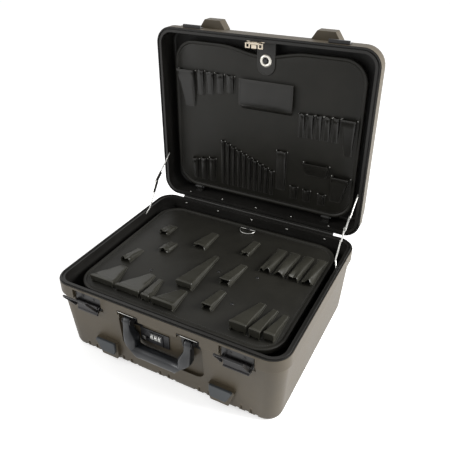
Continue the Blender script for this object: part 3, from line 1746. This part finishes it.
@dataclass
class LidPallet:
    """The lid's pallet with its pockets and the strap that holds it.

    Attributes:
        tab_x: Middle of the strap along X.
        tab_w: Width of the strap.
        tab_y0: Its straight end along Y.
        tab_y1: Its round end along Y.
        tab_t: Its thickness.
        ring_y: Middle of the ring along Y.
        ring_r: Radii of the ring's hole and of its edge.
        lug_x: How far a pin's middle lies from the middle of the pallet.
        pin_y: Place of the pins along Y.
        pin_half: Half the length of a pin.
        pin_r: Radius of a pin.
        lug: Width, depth and height of a lug.
    """

    tab_x: float = 4.0
    tab_w: float = 38.0
    tab_y0: float = -173.2
    tab_y1: float = -107.2
    tab_t: float = 2.0
    ring_y: float = -135.0
    ring_r: tuple[float, float] = (6.2, 12.0)
    lug_x: float = 150.0
    pin_y: float = 167.2
    pin_half: float = 11.0
    pin_r: float = 2.5
    lug: Point = (3.0, 8.0, 2.5)

    def build(self, soft: Softener, stitches: Stitches, rivets: Rivets) -> None:
        """Build the board, then what it carries.

        Args:
            soft: Copies the solids.
            stitches: Sews the seams.
            rivets: Places the rivets.
        """
        place = SIZES.on_lid_pallet
        board = Pallet("lid_pallet", "lid_pallet", 4.0, 8.0, 13.0)
        board.build(place)
        stitches.sew("lid_pallet_stitches", board.seam(place), "lid_pallet")
        for row in LID_ROWS:
            row.build(place, BACK, stitches, rivets)
        FlapPouch().build(place, stitches)
        self.strap(place, stitches)
        self.ring(place)
        self.lugs(place)
        soft.copy("tab_knob", 0.3, Finishes.LOCK, "tab_knob")
        soft.copy("tab_anchor", 0.6, Finishes.FRAME, "lid")
        soft.copy("lid_pallet_clips", 0.4, Finishes.FRAME, "lid")

    def ring(self, place: Place) -> None:
        """Build the bright ring round the turn knob.

        Args:
            place: Puts a point of the pallet's own plane in the case.
        """
        (near, far), z = self.ring_r, self.tab_t
        section = [(near, z), (near, z + 1.4), (near + 0.8, z + 2.3), (near + 2.2, z + 2.8),
                   (far - 2.0, z + 2.5), (far - 0.6, z + 1.5), (far, z + 0.5), (far, z)]
        piece = from_points("tab_ring_domed", [lathe(section, (self.tab_x, self.ring_y), place)])
        settle(piece, Finishes.NICKEL, "lid_pallet", ("tab_ring",), 50.0)

    def lugs(self, place: Place) -> None:
        """Build the pins, with their lugs, that the pallet tilts on.

        Args:
            place: Puts a point of the pallet's own plane in the case.
        """
        parts = []
        edge = 0.4
        width, depth, height = self.lug
        turns = [math.tau * i / 24 for i in range(24)]
        ends = [(self.pin_half, self.pin_r - edge), (self.pin_half - edge, self.pin_r)]
        stations = [(-x, r) for x, r in ends] + ends[::-1]
        for side in (-self.lug_x, self.lug_x):
            parts.append(loft([
                [place((side + x, self.pin_y + r * math.cos(a), r * math.sin(a))) for a in turns]
                for x, r in stations]))
            for x in (-self.pin_half, self.pin_half - width):
                parts.append(block((side + x, self.pin_y - depth, -height),
                                   (side + x + width, self.pin_y, 0.0), place, 0.3))
        settle(from_points("lid_pallet_lugs", parts), Finishes.POST, "lid_pallet")

    def strap(self, place: Place, stitches: Stitches) -> None:
        """Build the strap with its round end and its seam.

        Args:
            place: Puts a point of the pallet's own plane in the case.
            stitches: Sews the seam.
        """
        def ring(inset: float, z: float) -> list[Point]:
            """Give the strap's outline at an inset and a height.

            Args:
                inset: How far it lies inside the edge.
                z: Its height over the pallet.

            Returns:
                The outline's points.
            """
            r = self.tab_w / 2 - inset
            end = self.tab_y1 - self.tab_w / 2
            turns = [math.radians(9 * i) for i in range(21)]
            arc = [(self.tab_x + r * math.cos(a), end + r * math.sin(a), z) for a in turns]
            return arc + [(self.tab_x - r, self.tab_y0 + inset, z),
                          (self.tab_x + r, self.tab_y0 + inset, z)]
        profile = [(0.6, 0.0), (0.0, 0.5), (0.0, 1.4), (0.5, self.tab_t), (1.2, self.tab_t)]
        mesh = loft([[place(p) for p in ring(i, z)] for i, z in profile])
        piece = from_points("pallet_tab_vinyl", [mesh])
        settle(piece, Finishes.POUCH, "lid_pallet", ("pallet_tab",), 50.0)
        seam = [place(p) for p in ring(3.0, self.tab_t + 0.1)]
        stitches.sew("pallet_tab_stitches", [seam], "lid_pallet")


# ---------------------------------------------------------------- the stage
@dataclass(frozen=True)
class Lamp:
    """A round soft lamp.

    Attributes:
        name: Its name.
        place: Where it hangs, in metres.
        size: Its width, in metres.
        power: Its power, in watts.
    """

    name: str
    place: Point
    size: float
    power: float


@dataclass
class Stage:
    """Camera, lamps, world and floor.

    Attributes:
        eye: Where the camera stands, in metres.
        azimuth: Where it stands round the case, in degrees from the front.
        elevation: How far it looks down, in degrees.
        roll: How far it is turned about its own axis, in degrees.
        lens: Its focal length, in millimetres.
        sensor: Width of its sensor, in millimetres.
        shift: How far its picture is shifted, as shares of the width.
        paper: How bright the floor glows for the camera.
        sky: How bright the world lights the case.
        aim: What the lamps look at, in metres.
        lamps: The lamps.
    """

    eye: Point = (0.4144, -0.7042, 0.7356)
    azimuth: float = 28.19
    elevation: float = 30.26
    roll: float = -0.56
    lens: float = 42.53
    sensor: float = 36.0
    shift: tuple[float, float] = (-0.0071, -0.0347)
    paper: float = 0.5
    sky: float = 0.55
    aim: Point = (0.0, 0.0, 0.2)
    lamps: tuple[Lamp, ...] = (
        Lamp("key", (1.7, 0.4, 1.1), 0.9, 54.0), Lamp("fill", (-1.8, -1.3, 1.2), 1.2, 22.0))

    def camera(self) -> None:
        """Stand the camera where the photograph was taken from."""
        az, el, roll = (math.radians(a) for a in (self.azimuth, self.elevation, self.roll))
        back = Vector((math.sin(az) * math.cos(el), -math.cos(az) * math.cos(el), math.sin(el)))
        right = Vector((0.0, 0.0, 1.0)).cross(back).normalized()
        up = back.cross(right)
        across = math.cos(roll) * right + math.sin(roll) * up
        upright = math.cos(roll) * up - math.sin(roll) * right
        data = bpy.data.cameras.new("camera")
        data.lens = self.lens
        data.sensor_width = self.sensor
        data.shift_x, data.shift_y = self.shift
        data.clip_start, data.clip_end = 0.01, 50.0
        made = new_object("camera", data)
        turn = Matrix((across, upright, back)).transposed().to_4x4()
        made.matrix_world = Matrix.Translation(Vector(self.eye)) @ turn
        bpy.context.scene.camera = made

    def hang(self, lamp: Lamp) -> None:
        """Add a lamp that looks at the case.

        Args:
            lamp: The lamp.
        """
        data = bpy.data.lights.new(lamp.name, "AREA")
        data.shape = "DISK"
        data.size = lamp.size
        data.energy = lamp.power
        made = new_object(lamp.name, data)
        made.location = lamp.place
        toward = Vector(self.aim) - Vector(lamp.place)
        made.rotation_mode = "QUATERNION"
        made.rotation_quaternion = toward.to_track_quat("-Z", "Y")

    @staticmethod
    def seen(tree: Tree) -> Val:
        """Give 1 for the rays that show the backdrop, straight or mirrored, and 0 for light.

        Args:
            tree: The tree that takes the nodes.

        Returns:
            The value.
        """
        rays = tree.node("ShaderNodeLightPath")
        mirrored = rays["Is Glossy Ray"] + rays["Is Transmission Ray"]
        return (rays["Is Camera Ray"] + mirrored).above(0.5)

    def floor(self) -> None:
        """Lay a pale floor that keeps the case's shadow."""
        half = 6.0
        mesh = bpy.data.meshes.new("floor")
        mesh.from_pydata([(-half, -half, 0), (half, -half, 0), (half, half, 0), (-half, half, 0)],
                         [], [(0, 1, 2, 3)])
        made = new_object("floor", mesh)
        shader = Shader("floor_paper")
        paper = shader.node("ShaderNodeBsdfDiffuse", {}, {"Color": (0.9, 0.9, 0.9, 1.0)})
        glow = shader.node("ShaderNodeEmission", {},
                           {"Color": (1, 1, 1, 1), "Strength": self.seen(shader) * self.paper})
        both = shader.node("ShaderNodeAddShader", {}, {0: paper, 1: glow})
        shader.node("ShaderNodeOutputMaterial", {}, {"Surface": both})
        mesh.materials.append(shader.material)

    def world(self) -> None:
        """Light the case evenly and show white behind it."""
        made = bpy.data.worlds.new("world")
        made.use_nodes = True
        bpy.context.scene.world = made
        tree = Tree(made.node_tree)
        seen = self.seen(tree)
        soft = tree.node("ShaderNodeBackground", {}, {"Color": (1, 1, 1, 1), "Strength": self.sky})
        white = tree.node("ShaderNodeBackground", {}, {"Color": (1, 1, 1, 1), "Strength": 1.0})
        mixed = tree.node("ShaderNodeMixShader", {}, {0: seen, 1: soft, 2: white})
        tree.node("ShaderNodeOutputWorld", {}, {"Surface": mixed})

    def build(self) -> None:
        """Set the stage."""
        self.camera()
        self.world()
        self.floor()
        for lamp in self.lamps:
            self.hang(lamp)
        bpy.context.scene.view_settings.view_transform = "Standard"


def main() -> None:
    """Build the case and report each piece."""
    logging.basicConfig(level=logging.INFO, format="%(message)s")
    Stage().build()
    soft, stitches, rivets = Softener(), Stitches(), Rivets()
    Shells().build(soft, rivets)
    Stays().build(soft)
    Latches().build(soft, rivets)
    Handle().build(soft)
    Lock().build(soft)
    BasePallet().build(soft, stitches, rivets)
    LidPallet().build(soft, stitches, rivets)


if __name__ == "__main__":
    main()
